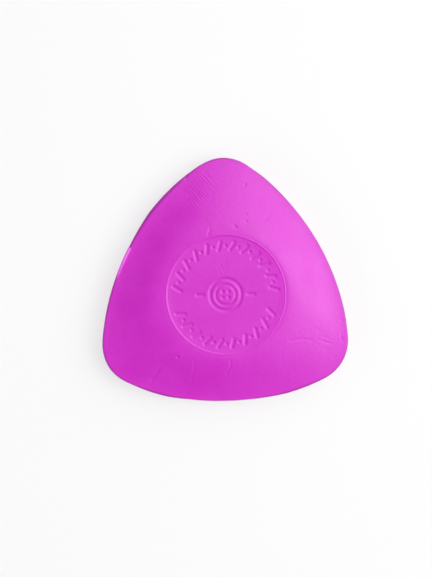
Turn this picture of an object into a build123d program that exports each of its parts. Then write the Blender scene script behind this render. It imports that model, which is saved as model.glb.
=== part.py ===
from build123d import *
from math import atan2, cos, degrees, radians, sin, sqrt, tan
import os

# Triangular tailor's chalk: one pressed cake of clay and wax, thick in the middle and
# hollow towards a thin drawing edge all round. Sizes are in millimetres. The cake lies on
# its plain face, with the stamped face up and one tip pointing along +Y. The origin is the
# middle of the flat land that it lies on.

# Outline at the parting line, seen from above: three bowed sides and three rounded tips
across = 50.0
side_bow_radius = 50.0
tip_radius = 9.0

# Drawing edge: its wall leans in, above and below the parting line, by the tool's draft
edge_thickness = 1.2
edge_draft = 14.0

# Hollow faces, between the round crown in the middle and the edge. Their slope at either
# end is a share of the mean slope along a side's middle.
face_drop = 2.4
crown_slope_share = 0.45
edge_slope_share = 0.6

# Round seat that the stamp leaves in the crown of the upper face: a barely dished floor,
# and a gentle wall up to a narrow lip
seat_diameter = 24.5
seat_depth = 0.16
seat_dish = 0.05
seat_wall_run = 0.4
lip_width = 0.45
lip_bevel = 0.12

# Flat land of the plain face
land_diameter = 24.5

# How far a cut runs past the face that it opens through
overrun = 1.0

tips = 3
tip_turn = 360 / tips
half_turn = tip_turn / 2
first_tip_angle = 90
sections = 4

# Where a bow runs into a tip, the centres of the two arcs and the point where they touch
# are in line. The tips' centres lie at tip_reach from the middle, and the bows' centres at
# bow_reach, each across the middle from its side.
arc_surplus = side_bow_radius + tip_radius - across
arc_difference = side_bow_radius - tip_radius
tip_reach = (sqrt(12 * arc_difference**2 - 3 * arc_surplus**2) - 3 * arc_surplus) / 6
bow_reach = tip_reach + arc_surplus
contact_rise = tip_reach + bow_reach * cos(radians(half_turn))
contact_run = bow_reach * sin(radians(half_turn))
side_half_angle = degrees(atan2(contact_rise, contact_run)) - (first_tip_angle - half_turn)
tip_half_angle = half_turn - side_half_angle

body_thickness = edge_thickness + 2 * face_drop
middle_height = body_thickness / 2
edge_inset = edge_thickness / 2 * tan(radians(edge_draft))
seat_radius = seat_diameter / 2
crown_radius = seat_radius + lip_width
land_radius = land_diameter / 2
seat_foot_radius = seat_radius - seat_wall_run
seat_foot_height = body_thickness - seat_depth
seat_middle_height = seat_foot_height - seat_dish


def draw_outline(way_out, round_radius, inset=0):
    """Six tangent arcs, on their way out from a circle of round_radius (0) to the edge (1)."""
    bow_radius = round_radius + way_out * (side_bow_radius - inset - round_radius)
    corner_radius = round_radius + way_out * (tip_radius - inset - round_radius)
    for tip in range(tips):
        tip_angle = first_tip_angle + tip * tip_turn
        side_angle = tip_angle + half_turn
        tip_center = Vector(way_out * tip_reach, 0).rotate(Axis.Z, tip_angle)
        bow_center = Vector(-way_out * bow_reach, 0).rotate(Axis.Z, side_angle)
        CenterArc(tip_center, corner_radius, tip_angle - tip_half_angle, 2 * tip_half_angle)
        CenterArc(bow_center, bow_radius, side_angle - side_half_angle, 2 * side_half_angle)


def fall(way_out):
    """How far a face has fallen from the middle's level, on an S curve down to the edge."""
    square_share = 3 - 2 * crown_slope_share - edge_slope_share
    cube_share = crown_slope_share + edge_slope_share - 2
    fallen = crown_slope_share * way_out + square_share * way_out**2 + cube_share * way_out**3
    return face_drop * fallen


def round_level(height):
    """Level plane whose X axis points to the first tip, so that a circle's seam lies there."""
    return Plane(origin=(0, 0, height), x_dir=(0, 1, 0), z_dir=(0, 0, 1))


with BuildPart() as chalk:
    # Thin edge, from the parting line up and down
    with BuildSketch(Plane.XY.offset(middle_height)) as parting_outline:
        with BuildLine():
            draw_outline(1, crown_radius)
        make_face()
    extrude(amount=edge_thickness / 2, taper=edge_draft)
    extrude(parting_outline.sketch, amount=-edge_thickness / 2, taper=edge_draft)

    # Upper face, lofted from the edge up to the round crown
    for section in range(1, sections):
        way_out = 1 - (section - 1) / (sections - 1)
        with BuildSketch(Plane.XY.offset(body_thickness - fall(way_out))):
            with BuildLine():
                draw_outline(way_out, crown_radius, edge_inset)
            make_face()
    with BuildSketch(round_level(body_thickness)):
        Circle(crown_radius)
    loft()

    # Plain face, lofted from the edge down to the round land
    for section in range(1, sections):
        way_out = 1 - (section - 1) / (sections - 1)
        with BuildSketch(Plane.XY.offset(fall(way_out))):
            with BuildLine():
                draw_outline(way_out, land_radius, edge_inset)
            make_face()
    with BuildSketch(round_level(0)):
        Circle(land_radius)
    loft()

    # Seat of the stamp
    floor_middle = (0, seat_middle_height)
    floor_foot = (seat_foot_radius, seat_foot_height)
    wall_top = (seat_radius, body_thickness)
    with BuildSketch(Plane.XZ):
        with BuildLine():
            TangentArc(floor_middle, floor_foot, tangent=(1, 0))
            Line(floor_foot, wall_top)
            Line(wall_top, (seat_radius, body_thickness + overrun))
            Line((seat_radius, body_thickness + overrun), (0, body_thickness + overrun))
            Line((0, body_thickness + overrun), floor_middle)
        make_face()
    revolve(axis=Axis.Z, mode=Mode.SUBTRACT)
    lip = chalk.faces().sort_by(Axis.Z)[-1]
    seat_rim = lip.edges().filter_by(GeomType.CIRCLE).sort_by(SortBy.RADIUS)[0]
    chamfer(seat_rim, length=lip_bevel)

chalk.part.label = "chalk"
os.makedirs("parts", exist_ok=True)
export_step(chalk.part, "parts/chalk.step")
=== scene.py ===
from math import atan2, cos, pi, radians, sin, sqrt, tan

import bmesh
import bpy
import numpy as np
from mathutils import Matrix, Vector


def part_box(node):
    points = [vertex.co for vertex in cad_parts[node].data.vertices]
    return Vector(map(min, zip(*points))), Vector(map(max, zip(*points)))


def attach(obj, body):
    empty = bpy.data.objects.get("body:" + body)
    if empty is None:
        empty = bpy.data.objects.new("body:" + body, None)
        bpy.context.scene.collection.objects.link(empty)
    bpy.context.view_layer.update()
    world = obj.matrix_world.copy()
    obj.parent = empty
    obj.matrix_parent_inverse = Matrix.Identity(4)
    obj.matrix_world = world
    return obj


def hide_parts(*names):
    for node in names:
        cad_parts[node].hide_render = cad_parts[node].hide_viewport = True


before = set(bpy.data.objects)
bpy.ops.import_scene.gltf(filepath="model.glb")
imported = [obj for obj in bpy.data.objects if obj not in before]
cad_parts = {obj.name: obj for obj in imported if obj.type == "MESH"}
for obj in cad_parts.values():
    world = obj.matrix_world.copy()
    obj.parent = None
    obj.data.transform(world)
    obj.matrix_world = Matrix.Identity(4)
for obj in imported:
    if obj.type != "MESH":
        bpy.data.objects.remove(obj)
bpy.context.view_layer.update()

mm = 0.001
hair = 0.001 * mm  # closer than this is the same place
hairTurn = 0.000001  # in radians, less than this is no turn
cakeLow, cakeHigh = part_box("chalk")
print("frame is in")

# The pressed cake. Its reach and its thickness come from the frame.
cake = {
    "across": cakeHigh.y - cakeLow.y,
    "thickness": cakeHigh.z - cakeLow.z,
    "bowRadius": 50 * mm,
    "tipRadius": 9 * mm,
    "edgeThickness": 1.2 * mm,
    "edgeDraft": radians(14),
    "crownRadius": 12.7 * mm,
    "landRadius": 12.25 * mm,
    "crownSlopeShare": 0.25,  # slope of the hollow faces at their crown and edge, of the mean
    "edgeSlopeShare": 0.3,
    "swell": 0.06 * mm,
    "swellTurn": radians(185),
    "swellPlace": 0.3,  # share of the way from the crown to the edge
    "tipSteps": 40,
    "bowSteps": 120,
    "faceRings": 40,
    "plainFaceRings": 18,
    "landDiscRadius": 11 * mm,
    "landDiscRings": 20,
    "wearRoom": 0.32 * mm,
}

middleHeight = cake["thickness"] / 2
upperCorner = middleHeight + cake["edgeThickness"] / 2
lowerCorner = middleHeight - cake["edgeThickness"] / 2
edgeInset = cake["edgeThickness"] / 2 * tan(cake["edgeDraft"])
wornInset = edgeInset + cake["wearRoom"]
ringSteps = 3 * (cake["tipSteps"] + cake["bowSteps"])

# where a bow runs into a tip, both centres and the touching point are in line
arcSurplus = cake["bowRadius"] + cake["tipRadius"] - cake["across"]
arcDifference = cake["bowRadius"] - cake["tipRadius"]
tipReach = (sqrt(12 * arcDifference**2 - 3 * arcSurplus**2) - 3 * arcSurplus) / 6
bowReach = tipReach + arcSurplus
bowHalfAngle = atan2(tipReach + bowReach / 2, bowReach * sin(radians(60))) - radians(30)
tipHalfAngle = radians(60) - bowHalfAngle


def pick(piece, test):
    # selects the points whose x, y and z pass the test, with the edges and faces between them
    bpy.ops.mesh.select_all(action="DESELECT")
    shape = bmesh.from_edit_mesh(piece.data)
    places = np.array([point.co for point in shape.verts])
    for point, wanted in zip(shape.verts, test(*places.T)):
        point.select = bool(wanted)
    shape.select_flush(True)
    bmesh.update_edit_mesh(piece.data)


def reshape(piece, change):
    # moves every point of the piece to where change puts its x, y and z
    places = np.empty(3 * len(piece.data.vertices), np.float32)
    piece.data.vertices.foreach_get("co", places)
    moved = change(*places.reshape(-1, 3).T.astype(float))
    piece.data.vertices.foreach_set("co", np.stack(moved, axis=1).astype(np.float32).ravel())
    piece.data.update()


def closeTo(value, target):
    return np.abs(value - target) < hair


def smoothStep(value, low, high):
    share = np.clip((value - low) / (high - low), 0, 1)
    return share * share * (3 - 2 * share)


def hump(distance, halfWidth):
    # 1 in the middle and 0 from halfWidth on, round at both ends
    near = 0.5 + 0.5 * np.cos(pi * np.minimum(distance, halfWidth) / halfWidth)
    return np.where(distance < halfWidth, near, 0)


def addOutline(height, inset):
    # one point, spun round the centre of each tip and each bow in turn
    radius = cake["tipRadius"] - inset
    startAngle = radians(90) - tipHalfAngle
    start = (radius * cos(startAngle), tipReach + radius * sin(startAngle), height)
    bpy.ops.mesh.primitive_plane_add(size=mm, location=start)
    bpy.ops.mesh.merge(type="CENTER")
    for tip in range(3):
        tipAngle = radians(90 + 120 * tip)
        bowAngle = tipAngle + radians(60)
        tipCentre = (tipReach * cos(tipAngle), tipReach * sin(tipAngle), height)
        bowCentre = (-bowReach * cos(bowAngle), -bowReach * sin(bowAngle), height)
        bpy.ops.mesh.spin(steps=cake["tipSteps"], angle=-2 * tipHalfAngle,
                          center=tipCentre, axis=(0, 0, 1))
        bpy.ops.mesh.spin(steps=cake["bowSteps"], angle=-2 * bowHalfAngle,
                          center=bowCentre, axis=(0, 0, 1))
    bpy.ops.mesh.select_all(action="SELECT")
    bpy.ops.mesh.remove_doubles(threshold=hair)


def addDisc(piece, height, radius, rings):
    # a fan of six triangles cut into even ones, whose six-sided rings are then rounded
    bpy.ops.mesh.primitive_circle_add(vertices=6, radius=radius, fill_type="TRIFAN",
                                      location=(0, 0, height))
    bpy.ops.mesh.subdivide(number_cuts=rings - 1)
    shape = bmesh.from_edit_mesh(piece.data)
    for point in shape.verts:
        reach = point.co.to_2d().length
        if not point.select or reach < hair:
            continue
        turn = (atan2(point.co.y, point.co.x) - radians(90) + hairTurn) % (2 * pi)
        sixth = int(turn / radians(60))
        aside = turn - radians(60) * sixth - radians(30)
        ring = reach * cos(aside) / cos(radians(30))
        angle = radians(90) + radians(60) * (sixth + 0.5 + cos(radians(30)) * tan(aside))
        point.co.x = ring * cos(angle)
        point.co.y = ring * sin(angle)
    bmesh.update_edit_mesh(piece.data)


def bridge(piece, test, cuts=0):
    pick(piece, test)
    bpy.ops.mesh.bridge_edge_loops(number_cuts=cuts, interpolation="LINEAR")


def wayOut(x, y, roundRadius):
    # how far a point lies on the way from the round middle, 0, to the edge, 1
    reach = np.hypot(x, y)
    fromTip = np.arctan2(y, x) - radians(90)
    turn = np.abs((fromTip + radians(60)) % radians(120) - radians(60))

    def solve(centreReach, radius, offAngle):
        growth = radius - edgeInset - roundRadius
        square = centreReach**2 - growth**2
        half = -centreReach * reach * np.cos(offAngle) - roundRadius * growth
        rest = reach**2 - roundRadius**2
        return (-half - np.sqrt(np.maximum(half**2 - square * rest, 0))) / square

    onTip = solve(tipReach, cake["tipRadius"], turn)
    onBow = solve(-bowReach, cake["bowRadius"], turn - radians(60))
    along = reach * np.cos(turn) + onBow * bowReach * cos(radians(60))
    across = reach * np.sin(turn) + onBow * bowReach * sin(radians(60))
    return np.where(np.arctan2(across, along) > radians(60) - bowHalfAngle, onBow, onTip)


def makePlan():
    # all rings and discs of the cake, still without the hollows of its faces
    bpy.ops.object.select_all(action="DESELECT")
    bpy.ops.mesh.primitive_circle_add(vertices=ringSteps, radius=cake["crownRadius"])
    piece = bpy.context.object
    piece.name = "chalkCake"
    piece.data.name = "chalkCake"
    bpy.ops.object.mode_set(mode="EDIT")
    bpy.ops.mesh.select_all(action="SELECT")
    bpy.ops.transform.translate(value=(0, 0, cake["thickness"]))

    # outlines of the edge, each with a ring just inside that keeps the wear to the corner
    upperRing = upperCorner + cake["wearRoom"]
    lowerRing = lowerCorner - cake["wearRoom"]
    addOutline(upperRing, wornInset)
    addOutline(upperCorner, edgeInset)
    addOutline(middleHeight, 0)
    addOutline(lowerCorner, edgeInset)
    addOutline(lowerRing, wornInset)
    bpy.ops.mesh.primitive_circle_add(vertices=ringSteps, radius=cake["landRadius"])

    heights = [cake["thickness"], upperRing, upperCorner, middleHeight, lowerCorner, lowerRing, 0]
    cuts = [cake["faceRings"], 0, 0, 0, 0, cake["plainFaceRings"]]
    for above, below, ringCuts in zip(heights, heights[1:], cuts):
        bridge(piece, lambda x, y, z: closeTo(z, above) | closeTo(z, below), ringCuts)

    # flat land that it lies on; its disc starts above the ring, so that the bridge isn't crossed
    addDisc(piece, cake["edgeThickness"], cake["landDiscRadius"], cake["landDiscRings"])

    def facingRings(x, y, z):
        discRim = closeTo(z, cake["edgeThickness"]) & closeTo(np.hypot(x, y), cake["landDiscRadius"])
        return closeTo(z, 0) | discRim

    bridge(piece, facingRings)
    return piece


# Round seat that the stamp left in the crown, a little off the middle and deeper on one side
seat = {
    "offX": -0.2 * mm,
    "offY": 0.13 * mm,
    "footRadius": 11.8 * mm,
    "rimRadius": 12.15 * mm,
    "depth": 0.1 * mm,
    "depthLean": 0.075 * mm,
    "deepTurn": radians(172),
    "footRise": 0.03 * mm,
    "footWidth": 0.9 * mm,
    "lipRise": 0.055 * mm,
    "lipRadius": 12.24 * mm,
    "lipHalfWidth": 0.2 * mm,
    "ringWidth": 0.075 * mm,
    "ringDrop": 0.01 * mm,
    "discRadius": 11.6 * mm,
    "discRings": 80,
}
crownLevel = cake["thickness"] - seat["lipRise"]  # the lip is the highest part


def addSeat(piece):
    pick(piece, lambda x, y, z: closeTo(z, cake["thickness"]))
    radius = cake["crownRadius"]
    while radius > seat["discRadius"] + 1.5 * seat["ringWidth"]:
        nextRadius = radius - seat["ringWidth"]
        shrink = nextRadius / radius
        bpy.ops.mesh.extrude_edges_indiv()
        bpy.ops.transform.translate(value=(0, 0, -seat["ringDrop"]))
        bpy.ops.transform.resize(value=(shrink, shrink, 1), center_override=(0, 0, 0))
        radius = nextRadius
    discHeight = cake["thickness"] - cake["edgeThickness"]
    addDisc(piece, discHeight, seat["discRadius"], seat["discRings"])

    def facingRims(x, y, z):
        reach = np.hypot(x, y)
        return (z > discHeight - hair) & (closeTo(reach, radius) | closeTo(reach, seat["discRadius"]))

    bridge(piece, facingRims)


# What the stamp pressed into the seat: two arcs of slanted stitches with a dot in each gap,
# and in the middle a plain button between two ends of thread
stamp = {
    "depth": 0.13 * mm,
    "stitchRing": 10 * mm,
    "flatWidth": 0.24 * mm,
    "stitchLength": 1.7 * mm,
    "stitchWidth": 1 * mm,
    "stitchSlant": radians(24),
    "upperArc": (radians(6), radians(172)),
    "upperStitches": 12,
    "lowerArc": (radians(202), radians(338)),
    "lowerStitches": 10,
    "dotWidth": 0.85 * mm,
    "buttonRadius": 3.2 * mm,
    "buttonGroove": 1 * mm,
    "dishRadius": 2.05 * mm,
    "dishGroove": 0.7 * mm,
    "holePlace": 0.6 * mm,
    "holeWidth": 0.95 * mm,
    "threadStart": 4.6 * mm,
    "threadEnd": 5.8 * mm,
    "threadWidth": 1 * mm,
}


def stampMarks():
    # strokes from one x and y to another, with their width; a dot ends where it starts
    strokes = []
    half = stamp["stitchLength"] / 2
    arcs = (stamp["upperArc"], stamp["upperStitches"]), (stamp["lowerArc"], stamp["lowerStitches"])
    for (first, last), count in arcs:
        pitch = (last - first) / (count - 1)
        for stitch in range(count):
            turn = first + pitch * stitch
            x = stamp["stitchRing"] * cos(turn)
            y = stamp["stitchRing"] * sin(turn)
            runX = half * cos(turn - stamp["stitchSlant"])
            runY = half * sin(turn - stamp["stitchSlant"])
            strokes.append((x - runX, y - runY, x + runX, y + runY, stamp["stitchWidth"]))
            if stitch < count - 1:  # a dot in the gap after it
                x = stamp["stitchRing"] * cos(turn + pitch / 2)
                y = stamp["stitchRing"] * sin(turn + pitch / 2)
                strokes.append((x, y, x, y, stamp["dotWidth"]))
    for x in (-stamp["holePlace"], stamp["holePlace"]):
        for y in (-stamp["holePlace"], stamp["holePlace"]):
            strokes.append((x, y, x, y, stamp["holeWidth"]))
    for side in (-1, 1):
        start = side * stamp["threadStart"]
        end = side * stamp["threadEnd"]
        strokes.append((start, 0, end, 0, stamp["threadWidth"]))
    return strokes


# What use has left on the stamped face, in mm: x and y of both ends, width and depth.
# The last four are pits, as good as round.
scratches = [
    (-15.65, -17.1, -14.75, -16.15, 0.4, 0.15),
    (-14.75, -16.15, -14.05, -15.1, 0.44, 0.2),
    (-14.05, -15.1, -13, -13.55, 0.4, 0.13),
    (-14.45, -15.1, -13.65, -13.7, 0.34, 0.07),
    (-15.8, -13.3, -15.5, -13, 0.34, 0.07),
    (-3.75, 12.1, -3.1, 13.85, 0.34, 0.065),
    (-3.25, 12.1, -3, 13.1, 0.26, 0.03),
    (0.5, -13.4, 0.6, -14.3, 0.34, 0.06),
    (0.6, -14.3, 0.25, -15.15, 0.36, 0.07),
    (0.25, -15.15, -0.35, -16.05, 0.34, 0.04),
    (-6.85, -13.1, -7, -15.2, 0.36, 0.05),
    (-7, -15.2, -7.5, -17.6, 0.36, 0.05),
    (12.8, -9.7, 15.4, -9.3, 0.45, 0.03),
    (15.4, -9.3, 17.6, -9.65, 0.45, 0.03),
    (19, -9.6, 21.8, -10.6, 0.4, 0.03),
    (19.7, -8.9, 21.2, -9.5, 0.4, 0.02),
    (20, -11.4, 21, -11.7, 0.4, 0.02),
    (8.35, 15.3, 9.1, 15.75, 0.36, 0.08),
    (7.3, 19.4, 8.5, 19.5, 0.36, 0.03),
    (1.75, 14.05, 2.4, 13.7, 0.42, 0.08),
    (4.15, 15.2, 4.5, 14.75, 0.38, 0.08),
    (4.3, 16.3, 4.6, 15.95, 0.34, 0.06),
    (23.8, -8.3, 24, -10, 0.36, 0.08),
    (23.5, -6, 24.9, -6.05, 0.34, 0.05),
    (-1.45, 6.65, -0.05, 3.7, 0.28, 0.02),
    (-2, 6.1, -1, 4.3, 0.25, 0.012),
    (-14.65, -4.5, -14.5, -7, 0.5, 0.015),
    (-13.95, -7, -13.9, -9.05, 0.4, 0.015),
    (4.42, 22.42, 4.45, 22.45, 0.46, 0.34),
    (-10.15, -12.3, -10.1, -12.3, 0.5, 0.36),
    (-10.8, -11.95, -10.75, -11.95, 0.34, 0.12),
    (-7.7, 23.9, -7.5, 24.1, 0.6, 0.2),
]


def strokeDistance(x, y, stroke):
    startX, startY, endX, endY = stroke[:4]
    runX = endX - startX
    runY = endY - startY
    along = ((x - startX) * runX + (y - startY) * runY) / max(runX**2 + runY**2, hair**2)
    along = np.clip(along, 0, 1)
    return np.hypot(x - startX - along * runX, y - startY - along * runY)


def groove(distance, width):
    # flat along the middle, with soft sides
    return 1 - smoothStep(distance, stamp["flatWidth"] / 2, width / 2)


def pressedDepth(x, y):
    # strokes that meet share their depth instead of adding it up
    reach = np.hypot(x, y)
    pressed = groove(np.abs(reach - stamp["buttonRadius"]), stamp["buttonGroove"])
    pressed = np.maximum(pressed, groove(np.abs(reach - stamp["dishRadius"]), stamp["dishGroove"]))
    for stroke in stampMarks():
        pressed = np.maximum(pressed, groove(strokeDistance(x, y, stroke), stroke[4]))
    return stamp["depth"] * pressed


def scratchedDepth(x, y):
    scratched = np.zeros_like(x)
    for stroke in scratches:
        deep = stroke[5] * mm * hump(strokeDistance(x / mm, y / mm, stroke), stroke[4] / 2)
        scratched = np.maximum(scratched, deep)
    return scratched


def refine(piece, test, rounds):
    # cuts the faces finer where the test holds, so that small marks keep their shape
    for cutting in range(rounds):
        pick(piece, test)
        bpy.ops.mesh.subdivide(number_cuts=1, ngon=False)


def nearStamp(x, y, z):
    pressed = pressedDepth(x - seat["offX"], y - seat["offY"]) > 0
    return (z > upperCorner) & (np.hypot(x, y) < seat["footRadius"]) & pressed


def nearScratch(x, y, z):
    return (z > upperCorner) & (scratchedDepth(x, y) > 0)


def nearBurr(x, y, z):
    turn = np.arctan2(y, x) % (2 * pi)
    beside = (turn > wear["burrStart"] - wear["burrRoom"]) & (turn < wear["burrEnd"])
    outermost = wayOut(x, y, cake["crownRadius"]) > wear["nearEdge"]
    return beside & outermost & (z > upperCorner - hair)


def seatHeight(x, y):
    x = x - seat["offX"]
    y = y - seat["offY"]
    reach = np.hypot(x, y)
    lean = (x * cos(seat["deepTurn"]) + y * sin(seat["deepTurn"])) / seat["rimRadius"]
    footStart = seat["footRadius"] - seat["footWidth"]
    foot = seat["footRise"] * smoothStep(reach, footStart, seat["footRadius"])
    floor = crownLevel - seat["depth"] - seat["depthLean"] * lean + foot
    wall = smoothStep(reach, seat["footRadius"], seat["rimRadius"])
    lip = seat["lipRise"] * hump(np.abs(reach - seat["lipRadius"]), seat["lipHalfWidth"])
    return floor + (crownLevel - floor) * wall + lip - pressedDepth(x, y)


def fall(share):
    # the S curve of the hollow faces, from 0 at the round middle to 1 at the edge
    square = 3 - 2 * cake["crownSlopeShare"] - cake["edgeSlopeShare"]
    cube = cake["crownSlopeShare"] + cake["edgeSlopeShare"] - 2
    return cake["crownSlopeShare"] * share + square * share**2 + cube * share**3


def pressFaces(x, y, z):
    # gives every point between the edge and the middle of either face its height
    upper = z > upperCorner + hair
    lower = z < lowerCorner - hair
    onCrown = np.hypot(x, y) < cake["crownRadius"] + hair
    way = np.clip(wayOut(x, y, cake["crownRadius"]), 0, 1)
    slope = crownLevel - (crownLevel - upperCorner) * fall(way)

    # the press was not quite level: fuller beside the seat on the left, hollower on the right
    fuller = np.cos(np.arctan2(y, x) - cake["swellTurn"])
    slope += cake["swell"] * fuller * hump(np.abs(way - cake["swellPlace"]), cake["swellPlace"])
    upperHeight = np.where(onCrown, seatHeight(x, y), slope) - scratchedDepth(x, y)
    lowerHeight = lowerCorner * fall(np.clip(wayOut(x, y, cake["landRadius"]), 0, 1))
    return x, y, np.where(upper, upperHeight, np.where(lower, lowerHeight, z))


# Use has rubbed the edge off its true outline: degrees about the middle, and mm out or in
edgeWear = [
    (0, 0), (30, 0), (50, -0.02), (65, 0.03), (71, 0.05), (78, -0.1), (90, 0), (99, -0.14),
    (106, 0.06), (112, 0.2), (121, 0.33), (132, 0.38), (141, 0.21), (151, 0.07), (180, -0.01),
    (200, -0.14), (211, 0), (221, -0.13), (232, 0.12), (240, 0.14), (250, -0.1), (271, -0.16),
    (281, -0.13), (291, 0), (301, 0.19), (311, 0.18), (321, 0.06), (331, 0), (341, -0.14),
    (351, 0), (360, 0),
]
wear = {
    "cornerWidth": 0.14 * mm,
    "cornerSteps": 4,
    "partingWidth": 0.1 * mm,
    "partingSteps": 2,
    "edgeFadeFrom": 0.72,  # share of the way out where the worn outline starts to tell
    "nearEdge": 0.93,
    "burrStart": radians(152),
    "burrStartFade": radians(1.5),
    "burrRoom": radians(2),  # finer faces start this far before it
    "burrEnd": radians(177),
    "burrEndFade": radians(22),
    "burrInset": 0.2 * mm,
    "burrHalfWidth": 0.4 * mm,
    "burrRise": 0.17 * mm,
    "burrJut": 0.1 * mm,
    "waveSize": 3.2 * mm,
    "waveDepth": 0.022 * mm,
    "ruffleSize": 0.9 * mm,
    "ruffleDepth": 0.018 * mm,
    "nibbleSize": 0.7 * mm,
    "nibbleDepth": 0.04 * mm,
    "nibbledFrom": 0.965,
    "nibbledFully": 0.99,
    "lipClear": 0.12,
    "seatRuffleShare": 0.5,
}


def burr(x, y, z):
    # 1 along the top of the burr on the left side's edge, 0 away from it
    turn = np.arctan2(y, x) % (2 * pi)
    side = radians(150)
    centreReach = np.hypot(x + bowReach * cos(side), y + bowReach * sin(side))
    ridge = hump(np.abs(cake["bowRadius"] - centreReach - wear["burrInset"]), wear["burrHalfWidth"])
    ridge *= smoothStep(turn, wear["burrStart"], wear["burrStart"] + wear["burrStartFade"])
    ridge *= 1 - smoothStep(turn, wear["burrEnd"] - wear["burrEndFade"], wear["burrEnd"])
    return np.where(z > middleHeight, ridge, 0)


def rubEdge(piece):
    for height in (upperCorner, lowerCorner):
        pick(piece, lambda x, y, z: closeTo(z, height))
        bpy.ops.mesh.bevel(offset=wear["cornerWidth"], segments=wear["cornerSteps"], affect="EDGES")
    pick(piece, lambda x, y, z: closeTo(z, middleHeight))
    bpy.ops.mesh.bevel(offset=wear["partingWidth"], segments=wear["partingSteps"], affect="EDGES")
    bpy.ops.object.mode_set(mode="OBJECT")

    def raiseBurr(x, y, z):
        ridge = burr(x, y, z)
        jut = wear["burrJut"] * ridge / np.maximum(np.hypot(x, y), hair)
        return x + x * jut, y + y * jut, z + wear["burrRise"] * ridge

    def shiftEdge(x, y, z):
        turn = np.degrees(np.arctan2(y, x)) % 360
        angles, offsets = zip(*edgeWear)
        offset = np.interp(turn, angles, offsets) * mm
        offset *= smoothStep(wayOut(x, y, cake["crownRadius"]), wear["edgeFadeFrom"], 1)
        reach = np.maximum(np.hypot(x, y), hair)
        return x + offset * x / reach, y + offset * y / reach, z

    reshape(piece, raiseBurr)
    reshape(piece, shiftEdge)


def roughen(piece, name, size, depth, direction, weigh):
    # sinks the surface a little and unevenly, as much as weigh says for each point
    group = piece.vertex_groups.new(name=name)
    places = np.array([point.co for point in piece.data.vertices])
    for index, weight in enumerate(weigh(*places.T)):
        if weight > 0:
            group.add([index], float(weight), "REPLACE")
    cloud = bpy.data.textures.new(name, "CLOUDS")
    cloud.noise_scale = size
    cloud.noise_depth = 2
    modifier = piece.modifiers.new(name, "DISPLACE")
    modifier.texture = cloud
    modifier.texture_coords = "LOCAL"
    modifier.vertex_group = name
    modifier.direction = direction
    modifier.mid_level = 1
    modifier.strength = depth
    bpy.ops.object.modifier_apply(modifier=name)
    piece.vertex_groups.remove(piece.vertex_groups[name])


def hollowShare(x, y, roundRadius):
    # full on the hollow faces, fading to nothing at the round middle and at the edge
    way = wayOut(x, y, roundRadius)
    return smoothStep(way, 0, wear["lipClear"]) * (1 - smoothStep(way, wear["nearEdge"], 1))


def upperFaceShare(x, y, z):
    return np.where(z > upperCorner, hollowShare(x, y, cake["crownRadius"]), 0)


def plainFaceShare(x, y, z):
    return np.where(z < lowerCorner, hollowShare(x, y, cake["landRadius"]), 0)


def upperSideShare(x, y, z):
    # the seat too, apart from its lip
    reach = np.hypot(x, y)
    floor = 1 - smoothStep(reach, seat["footRadius"] - seat["footWidth"], seat["footRadius"])
    share = np.maximum(wear["seatRuffleShare"] * floor, upperFaceShare(x, y, z))
    return np.where(z > upperCorner, share, 0)


def edgeShare(x, y, z):
    way = wayOut(x, y, cake["crownRadius"])
    return smoothStep(way, wear["nibbledFrom"], wear["nibbledFully"])


chalkCake = makePlan()
addSeat(chalkCake)
print("rings:", len(chalkCake.data.vertices), "points")
refine(chalkCake, nearStamp, 1)
refine(chalkCake, nearScratch, 2)
refine(chalkCake, nearBurr, 1)
bpy.ops.object.mode_set(mode="OBJECT")
reshape(chalkCake, pressFaces)
print("pressed:", len(chalkCake.data.vertices), "points")
bpy.ops.object.mode_set(mode="EDIT")
rubEdge(chalkCake)
roughen(chalkCake, "waves", wear["waveSize"], wear["waveDepth"], "Z", upperFaceShare)
roughen(chalkCake, "plainWaves", wear["waveSize"], wear["waveDepth"], "NORMAL", plainFaceShare)
roughen(chalkCake, "ruffle", wear["ruffleSize"], wear["ruffleDepth"], "Z", upperSideShare)
roughen(chalkCake, "nibble", wear["nibbleSize"], wear["nibbleDepth"], "NORMAL", edgeShare)

bpy.ops.object.mode_set(mode="EDIT")
bpy.ops.mesh.select_all(action="SELECT")
bpy.ops.mesh.normals_make_consistent(inside=False)
bpy.ops.object.mode_set(mode="OBJECT")
bpy.ops.object.shade_smooth()
print("worn:", len(chalkCake.data.vertices), "points,", len(chalkCake.data.polygons), "faces")

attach(chalkCake, "root")
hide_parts("chalk")

# Waxy pressed chalk: dyed all through, blotchy, finely scratched, with painted shade darkening the
# wall of its edge
wax = {
    "dye": (0.67, 0.0235, 0.6, 1),
    "thinDye": (0.7, 0.0275, 0.63, 1),
    # painted shade: the edge wall darker, as if turned from the light and mirroring dark surroundings
    "paintedEdgeShade": (0.42, 0.012, 0.39, 1),
    "paintedEdgeShadeFrom": 0.975,
    # painted highlight: the burr paler, as if its raised facet caught the light
    "burrHighlight": (0.9, 0.12, 0.85, 1),
    "burrHighlightFrom": 0.1,
    "burrHighlightFully": 0.5,
    "paintedEdgeShadeLeast": 0.8,  # share of the painted edge shade where it is thinnest
    "blotchSize": 5 * mm,
    "blotchSpan": (0.35, 0.65),
    "speckSize": 0.9 * mm,
    "speckSpan": (0.3, 0.7),
    "roughness": 0.34,
    "roughnessSpread": 0.1,
    "grainSize": 0.5 * mm,
    "grainDepth": 0.03 * mm,
    "streakLength": 9 * mm,
    "streakWidth": 0.3 * mm,
    "streakTurn": radians(62),
    "streakSpan": (0.62, 0.75),
    "streakDepth": 0.01 * mm,
    "streakRoughness": 0.08,
    "rippleSpacing": 0.56 * mm,
    "rippleLength": 4.5 * mm,
    "rippleDepth": 0.055 * mm,
    "rippleTurn": radians(40),
    "rippleSway": 3,
    "rippleSpan": (0.42, 0.62),
    "ripplePlaces": [(-3.6, 22.8), (-6.2, 20.2)],  # in mm
    "rippleHeightShare": 0.7,
    "ripplePatch": 3.6 * mm,
    "milkiness": 0.12,
    "milkyReach": 0.35 * mm,
    "milkyColours": (1, 0.3, 0.8),
}


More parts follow.
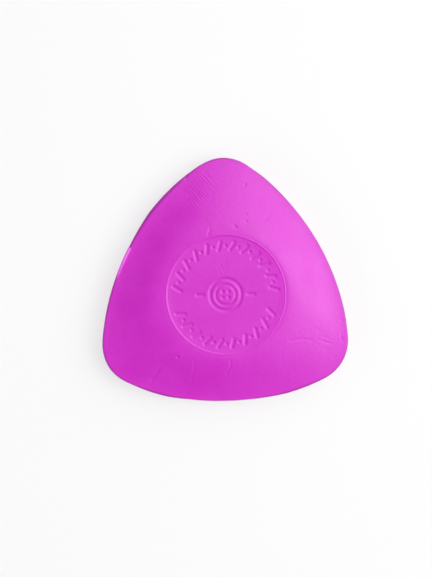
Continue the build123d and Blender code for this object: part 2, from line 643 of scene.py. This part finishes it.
def makeWax():
    material = bpy.data.materials.new("pressedChalk")
    material.use_nodes = True
    nodes = material.node_tree.nodes
    links = material.node_tree.links
    shader = nodes["Principled BSDF"]
    place = nodes.new("ShaderNodeTexCoord").outputs["Object"]

    def addNoise(size, detail, coordinates=place):
        noise = nodes.new("ShaderNodeTexNoise")
        noise.inputs["Scale"].default_value = 1 / size
        noise.inputs["Detail"].default_value = detail
        links.new(coordinates, noise.inputs["Vector"])
        return noise.outputs["Fac"]

    def stretch(value, span, low=0.0, high=1.0):
        spread = nodes.new("ShaderNodeMapRange")
        spread.interpolation_type = "SMOOTHSTEP"
        for socket, number in zip(spread.inputs[1:5], (*span, low, high)):
            socket.default_value = number
        links.new(value, spread.inputs["Value"])
        return spread.outputs["Result"]

    def combine(operation, first, second):
        step = nodes.new("ShaderNodeMath")
        step.operation = operation
        for socket, value in zip(step.inputs, (first, second)):
            if isinstance(value, float):
                socket.default_value = value
            else:
                links.new(value, socket)
        return step.outputs["Value"]

    def mixColours(share, first, second):
        mix = nodes.new("ShaderNodeMix")
        mix.data_type = "RGBA"
        links.new(share, mix.inputs["Factor"])
        for socket, value in zip((mix.inputs[6], mix.inputs[7]), (first, second)):
            if isinstance(value, tuple):
                socket.default_value = value
            else:
                links.new(value, socket)
        return mix.outputs[2]

    def readShare(name):
        attribute = nodes.new("ShaderNodeAttribute")
        attribute.attribute_name = name
        return attribute.outputs["Fac"]

    def turnPlace(turn, lengths):
        # turns the pattern about Z, then draws it out by the lengths along its own axes
        mapping = nodes.new("ShaderNodeMapping")
        mapping.vector_type = "TEXTURE"
        mapping.inputs["Rotation"].default_value = (0, 0, turn)
        mapping.inputs["Scale"].default_value = lengths
        links.new(place, mapping.inputs["Vector"])
        return mapping.outputs["Vector"]

    blotches = stretch(addNoise(wax["blotchSize"], 3), wax["blotchSpan"])
    specks = stretch(addNoise(wax["speckSize"], 2), wax["speckSpan"])
    uneven = combine("MULTIPLY", combine("ADD", blotches, specks), 0.5)
    dyed = mixColours(uneven, wax["dye"], wax["thinDye"])
    patchy = stretch(specks, (0.0, 1.0), wax["paintedEdgeShadeLeast"])
    # painted shade darkens the wall of the edge, patchily
    dyed = mixColours(combine("MULTIPLY", readShare("paintedEdgeShade"), patchy), dyed, wax["paintedEdgeShade"])
    # painted highlight on the burr
    dyed = mixColours(readShare("burrHighlight"), dyed, wax["burrHighlight"])
    links.new(dyed, shader.inputs["Base Color"])

    # long fine streaks, where it has slid in and out of a drawer
    along = turnPlace(wax["streakTurn"], (wax["streakLength"] / wax["streakWidth"], 1, 1))
    streaks = stretch(addNoise(wax["streakWidth"], 2, along), wax["streakSpan"])
    streaks = combine("MULTIPLY", streaks, blotches)

    halfSpread = wax["roughnessSpread"] / 2
    rough = stretch(addNoise(wax["blotchSize"], 4), wax["speckSpan"],
                    wax["roughness"] - halfSpread, wax["roughness"] + halfSpread)
    rough = combine("ADD", rough, combine("MULTIPLY", streaks, wax["streakRoughness"]))
    links.new(rough, shader.inputs["Roughness"])

    # fine ripples where the cake stuck to the press
    ripple = nodes.new("ShaderNodeTexWave")
    ripple.wave_type = "BANDS"
    ripple.bands_direction = "X"
    ripple.inputs["Scale"].default_value = 2 * pi / 20 / wax["rippleSpacing"]  # 20 is the node's own
    ripple.inputs["Distortion"].default_value = wax["rippleSway"]
    ripple.inputs["Detail"].default_value = 1
    ripple.inputs["Detail Scale"].default_value = 0.6
    links.new(turnPlace(wax["rippleTurn"], (1, 1, 1)), ripple.inputs["Vector"])
    along = turnPlace(wax["rippleTurn"], (1, wax["rippleLength"] / wax["rippleSpacing"], 1))
    strong = stretch(addNoise(wax["rippleSpacing"], 1, along), wax["rippleSpan"])
    patches = None
    for x, y in wax["ripplePlaces"]:
        apart = nodes.new("ShaderNodeVectorMath")
        apart.operation = "DISTANCE"
        height = cake["thickness"] * wax["rippleHeightShare"]
        apart.inputs[1].default_value = (x * mm, y * mm, height)
        links.new(place, apart.inputs[0])
        patch = stretch(apart.outputs["Value"], (0.0, wax["ripplePatch"]), 1.0, 0.0)
        patches = patch if patches is None else combine("MAXIMUM", patches, patch)
    rippled = combine("MULTIPLY", ripple.outputs["Fac"], combine("MULTIPLY", patches, strong))

    def addRelief(height, depth, under=None):
        bump = nodes.new("ShaderNodeBump")
        bump.inputs["Strength"].default_value = 1
        bump.inputs["Distance"].default_value = depth
        links.new(height, bump.inputs["Height"])
        if under is not None:
            links.new(under, bump.inputs["Normal"])
        return bump.outputs["Normal"]

    relief = addRelief(addNoise(wax["grainSize"], 3), wax["grainDepth"])
    relief = addRelief(combine("MULTIPLY", streaks, -1.0), wax["streakDepth"], relief)
    relief = addRelief(rippled, wax["rippleDepth"], relief)
    links.new(relief, shader.inputs["Normal"])

    shader.inputs["Subsurface Weight"].default_value = wax["milkiness"]
    shader.inputs["Subsurface Radius"].default_value = wax["milkyColours"]
    shader.inputs["Subsurface Scale"].default_value = wax["milkyReach"]
    return material


def markEdge(piece):
    # one share is 1 on the wall of the edge and fades over its corners: painted shade, the wall
    # darker as if turned from the light and mirroring dark surroundings; the other is 1 on the burr:
    # a painted highlight
    places = np.array([point.co for point in piece.data.vertices])
    x, y, z = places.T
    # painted highlight on the burr, fading in and out along its ridge
    burrHighlight = smoothStep(burr(x, y, z), wax["burrHighlightFrom"], wax["burrHighlightFully"])
    paintedEdgeShade = smoothStep(wayOut(x, y, cake["crownRadius"]), wax["paintedEdgeShadeFrom"], 1) * (1 - burrHighlight)
    for name, share in (("paintedEdgeShade", paintedEdgeShade), ("burrHighlight", burrHighlight)):
        attribute = piece.data.attributes.new(name, "FLOAT", "POINT")
        attribute.data.foreach_set("value", share.astype(np.float32))


markEdge(chalkCake)
chalkCake.data.materials.clear()
chalkCake.data.materials.append(makeWax())
print("wax is on")

# White table, which shows as white and still takes a soft shadow
table = {
    "size": 2.0,
    "shade": 0.92,
    "roughness": 0.9,
    "ownLight": 0.7,  # share of plain white that only the camera sees
}


def makeTable():
    bpy.ops.object.select_all(action="DESELECT")
    bpy.ops.mesh.primitive_plane_add(size=table["size"])
    top = bpy.context.object
    top.name = "tableTop"
    material = bpy.data.materials.new("whiteTable")
    material.use_nodes = True
    nodes = material.node_tree.nodes
    links = material.node_tree.links
    paint = nodes["Principled BSDF"]
    paint.inputs["Base Color"].default_value = (table["shade"], table["shade"], table["shade"], 1)
    paint.inputs["Roughness"].default_value = table["roughness"]
    glow = nodes.new("ShaderNodeEmission")
    seen = nodes.new("ShaderNodeLightPath")
    share = nodes.new("ShaderNodeMath")
    share.operation = "MULTIPLY"
    share.inputs[1].default_value = table["ownLight"]
    blend = nodes.new("ShaderNodeMixShader")
    links.new(seen.outputs["Is Camera Ray"], share.inputs[0])
    links.new(share.outputs[0], blend.inputs["Fac"])
    links.new(paint.outputs["BSDF"], blend.inputs[1])
    links.new(glow.outputs["Emission"], blend.inputs[2])
    links.new(blend.outputs["Shader"], nodes["Material Output"].inputs["Surface"])
    top.data.materials.append(material)


makeTable()

# A wide window to the right as soft boxes of equal size, pale walls low on the left, and a dome.
# Each box has its tilt from overhead and its turn about the table in degrees, and its brightness.
studio = {
    "boxDistance": 0.5,
    "boxSize": 0.36,
    "boxes": {
        "windowRight": (32, 0, 1.75),
        "windowRear": (32, 45, 1.8),
        "windowFront": (32, -45, 0.25),
        "windowFar": (55, 90, 0.95),
        "sillRight": (55, 0, 2.8),
        "sillRear": (75, 45, 2.6),
        "sillFront": (55, -42, 0.9),
        "overhead": (10, 90, 0.4),
        "wallLeft": (75, 180, 1.3),
        "wallFrontLeft": (75, 225, 1.6),
        "wallNearLeft": (55, 225, 0.5),
    },
    "dome": 0.1,
}


def addSoftBox(name, tilt, turn, brightness):
    tilt = radians(tilt)
    turn = radians(turn)
    place = Vector((sin(tilt) * cos(turn), sin(tilt) * sin(turn), cos(tilt))) * studio["boxDistance"]
    bpy.ops.object.light_add(type="AREA", location=place)
    lamp = bpy.context.object
    lamp.name = name
    lamp.rotation_euler = place.to_track_quat("Z", "Y").to_euler()
    lamp.data.shape = "DISK"
    lamp.data.size = studio["boxSize"]
    lamp.data.energy = brightness * (pi * studio["boxSize"] / 2)**2


for boxName, (tilt, turn, brightness) in studio["boxes"].items():
    addSoftBox(boxName, tilt, turn, brightness)

dome = bpy.data.worlds.new("dome")
dome.use_nodes = True
dome.node_tree.nodes["Background"].inputs["Color"].default_value = (1, 1, 1, 1)
dome.node_tree.nodes["Background"].inputs["Strength"].default_value = studio["dome"]
bpy.context.scene.world = dome

# Long lens, looking down a little from the left and from the upper tip
view = {
    "leanLeft": radians(6.66),
    "leanUp": radians(3.04),
    "roll": radians(-1),
    "distance": 0.6,
    "seenHeight": 117.93 * mm,
    "photoWidth": 433,
    "photoHeight": 577,
    "middlePixelX": 225,
    "middlePixelY": 294.7,
    "sensorHeight": 24,
}


def makeCamera():
    back = Vector((-tan(view["leanLeft"]), tan(view["leanUp"]), 1)).normalized()
    up = Vector((-sin(view["roll"]), cos(view["roll"]), 0))
    up = (up - up.dot(back) * back).normalized()
    right = up.cross(back)
    pixel = view["seenHeight"] / view["photoHeight"]
    aim = Vector((0, 0, middleHeight))
    aim -= right * (view["middlePixelX"] - view["photoWidth"] / 2) * pixel
    aim += up * (view["middlePixelY"] - view["photoHeight"] / 2) * pixel
    bpy.ops.object.camera_add(location=aim + back * view["distance"])
    camera = bpy.context.object
    camera.name = "photoCamera"
    turn = np.array([right, up, back]).T.tolist()
    camera.rotation_euler = Matrix(turn).to_euler()
    camera.data.sensor_fit = "VERTICAL"
    camera.data.sensor_height = view["sensorHeight"]
    camera.data.lens = view["sensorHeight"] * view["distance"] / view["seenHeight"]
    camera.data.clip_start = 10 * mm
    bpy.context.scene.camera = camera


makeCamera()
bpy.context.scene.view_settings.view_transform = "Standard"
